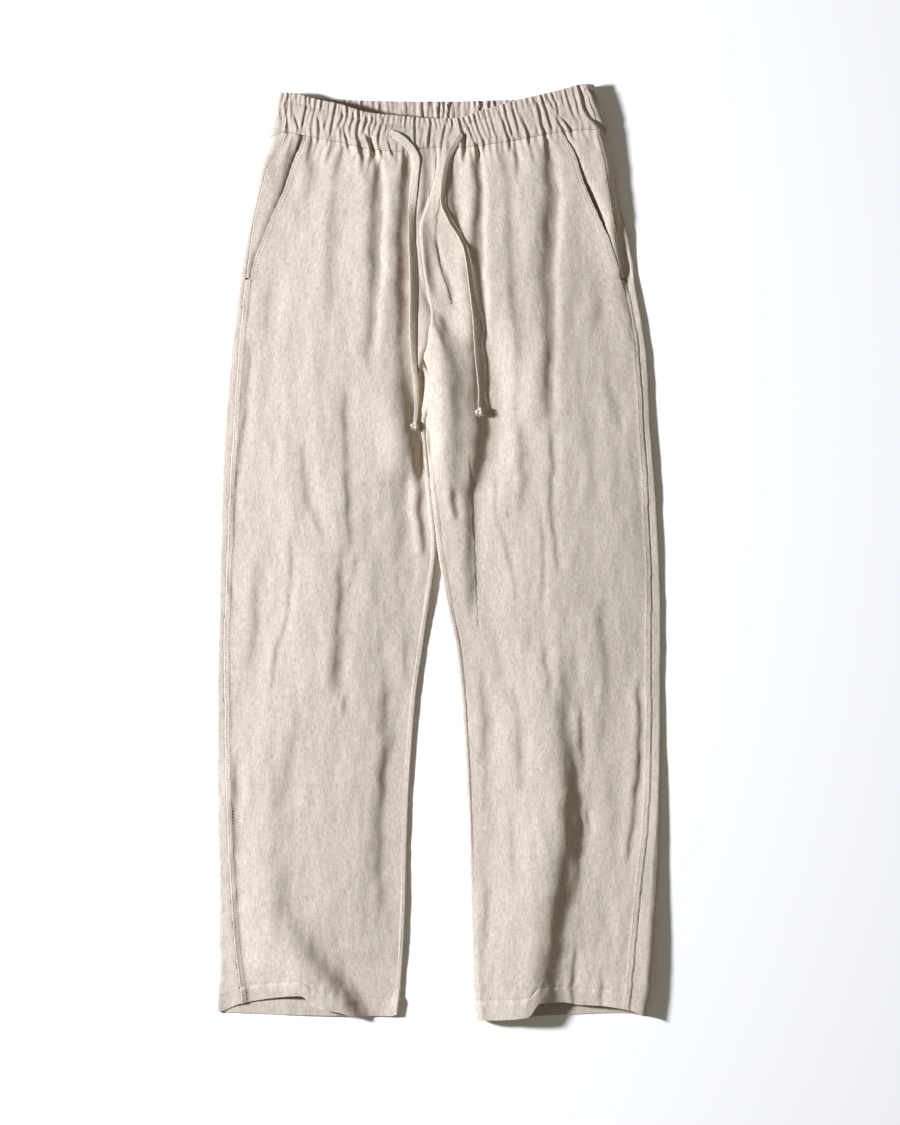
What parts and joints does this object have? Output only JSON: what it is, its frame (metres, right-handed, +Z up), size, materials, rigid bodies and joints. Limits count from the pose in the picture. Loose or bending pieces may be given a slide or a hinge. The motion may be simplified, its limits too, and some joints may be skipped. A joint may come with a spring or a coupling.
{
  "type": "hemp drawstring trousers",
  "caption": "Straight-leg drawstring trousers in plain-woven hemp, laid flat, with a gathered waistband, slanted pockets, a fly and open hems.",
  "frame": {"origin": "centre of the cloth's box on the surface that it lies on", "axes": "+Y along the trousers from the hems to the waist, +Z up out of the surface from the backs to the fronts, +X to the wearer's left"},
  "size_m": [0.4906, 1.0287, 0.0229],
  "materials": {
    "hemp": "matt plain weave",
    "hemp_waistband": "matt plain weave, gathered",
    "hemp_tie": "matt plain weave"
  },
  "bodies": {
    "root": {"front_right": "hemp", "front_left": "hemp", "back_right": "hemp", "back_left": "hemp", "pocket_facing_right": "hemp", "pocket_facing_left": "hemp", "fly": "hemp", "thigh_piece_left": "hemp", "waistband_front": "hemp_waistband", "waistband_back": "hemp_waistband", "drawstring_right": "hemp_tie", "drawstring_left": "hemp_tie", "knot_right": "hemp_tie", "knot_left": "hemp_tie"}
  },
  "joints": []
}
